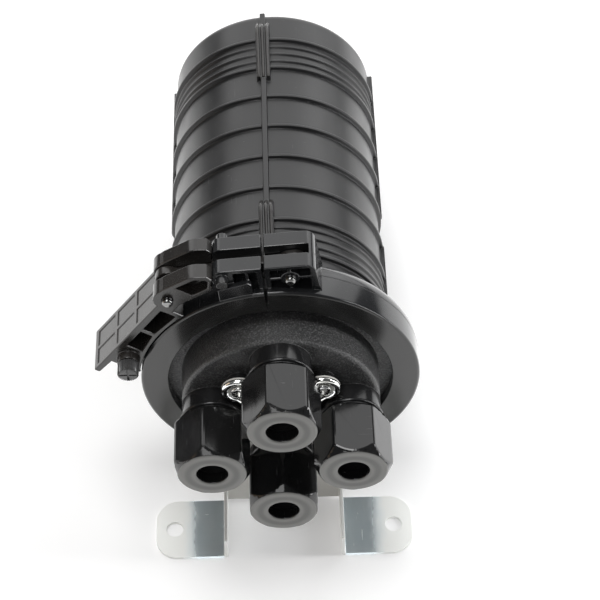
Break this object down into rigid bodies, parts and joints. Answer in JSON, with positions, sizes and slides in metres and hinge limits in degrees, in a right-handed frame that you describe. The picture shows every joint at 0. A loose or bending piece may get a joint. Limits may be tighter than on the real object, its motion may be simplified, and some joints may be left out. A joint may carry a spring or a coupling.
{
  "type": "fibre termination box",
  "caption": "Dome-shaped fibre termination box: ribbed dome on a round base with screwed cable glands, closed by a hinged lever clamp and carried by a bent sheet bracket.",
  "frame": {"origin": "midway between the two ear holes, on the ears' back face", "axes": "+Y along the dome's axis from the glands towards the dome's end, +Z away from the mounting plane, +X across the ears"},
  "size_m": [0.1988, 0.3264, 0.2033],
  "materials": {
    "dome_plastic": "satin, moulded",
    "base_plastic": "coarse moulded grain",
    "clamp_plastic": "satin to glossy",
    "latch_plastic": "satin, moulded",
    "nut_plastic": "glossy flats",
    "seal_rubber": "matte",
    "washer_plastic": "smooth",
    "zinc_sheet": "bright zinc plate",
    "pin_steel": "polished",
    "tray_plastic": "smooth",
    "cover_plastic": "clear, smooth",
    "strap_fabric": "hook and loop"
  },
  "bodies": {
    "closure": {"dome": "dome_plastic", "base": "base_plastic", "seal_ring": "seal_rubber", "clamp_left": "clamp_plastic", "clamp_hinge_pin": "pin_steel", "mount_bracket": "zinc_sheet", "bracket_screws": "pin_steel", "tray_frame": "tray_plastic", "splice_tray_1": "tray_plastic", "splice_tray_2": "tray_plastic", "splice_tray_3": "tray_plastic", "tray_cover": "cover_plastic", "tray_strap": "strap_fabric", "frame_screws": "pin_steel", "strength_clamps": "zinc_sheet", "strength_screws": "pin_steel", "gland_seal_top": "seal_rubber", "gland_washer_top": "washer_plastic", "gland_seal_left": "seal_rubber", "gland_washer_left": "washer_plastic", "gland_seal_right": "seal_rubber", "gland_washer_right": "washer_plastic", "gland_seal_bottom": "seal_rubber", "gland_washer_bottom": "washer_plastic"},
    "clamp_half": {"clamp_right": "clamp_plastic", "link_pin": "pin_steel"},
    "lever": {"latch_lever": "latch_plastic", "lever_pin": "pin_steel"},
    "link": {"latch_link": "latch_plastic"},
    "lock": {"lock_screw": "latch_plastic"},
    "nut_top": {"gland_nut_top": "nut_plastic"},
    "nut_left": {"gland_nut_left": "nut_plastic"},
    "nut_right": {"gland_nut_right": "nut_plastic"},
    "nut_bottom": {"gland_nut_bottom": "nut_plastic"}
  },
  "joints": [
    {"name": "lever_swing", "type": "hinge", "parent": "closure", "child": "lever", "pos_m": [-0.03241, 0.063, 0.19304], "axis": [0, 1, 0], "range_deg": [0, 70]},
    {"name": "link_swing", "type": "hinge", "parent": "lever", "child": "link", "pos_m": [-0.06473, 0.063, 0.17949], "axis": [0, 1, 0], "range_deg": [-38.5, 0]},
    {"name": "clamp_swing", "type": "hinge", "parent": "closure", "child": "clamp_half", "pos_m": [0.00776, 0.06, 0.00934], "axis": [0, 1, 0], "range_deg": [0, 1.41]},
    {"name": "lock_turn", "type": "hinge", "parent": "lever", "child": "lock", "pos_m": [-0.09149, 0.045, 0.12502], "axis": [0, 1, 0], "continuous": true},
    {"name": "nut_top_turn", "type": "hinge", "parent": "closure", "child": "nut_top", "pos_m": [0, 0, 0.14], "axis": [0, 1, 0], "continuous": true},
    {"name": "nut_left_turn", "type": "hinge", "parent": "closure", "child": "nut_left", "pos_m": [-0.042, 0, 0.098], "axis": [0, 1, 0], "continuous": true},
    {"name": "nut_right_turn", "type": "hinge", "parent": "closure", "child": "nut_right", "pos_m": [0.042, 0, 0.098], "axis": [0, 1, 0], "continuous": true},
    {"name": "nut_bottom_turn", "type": "hinge", "parent": "closure", "child": "nut_bottom", "pos_m": [0, 0, 0.056], "axis": [0, 1, 0], "continuous": true}
  ],
  "couplings": [
    {"joint": "link_swing", "follows": "lever_swing", "ratio": -0.55},
    {"joint": "clamp_swing", "follows": "lever_swing", "ratio": 0.0201}
  ]
}
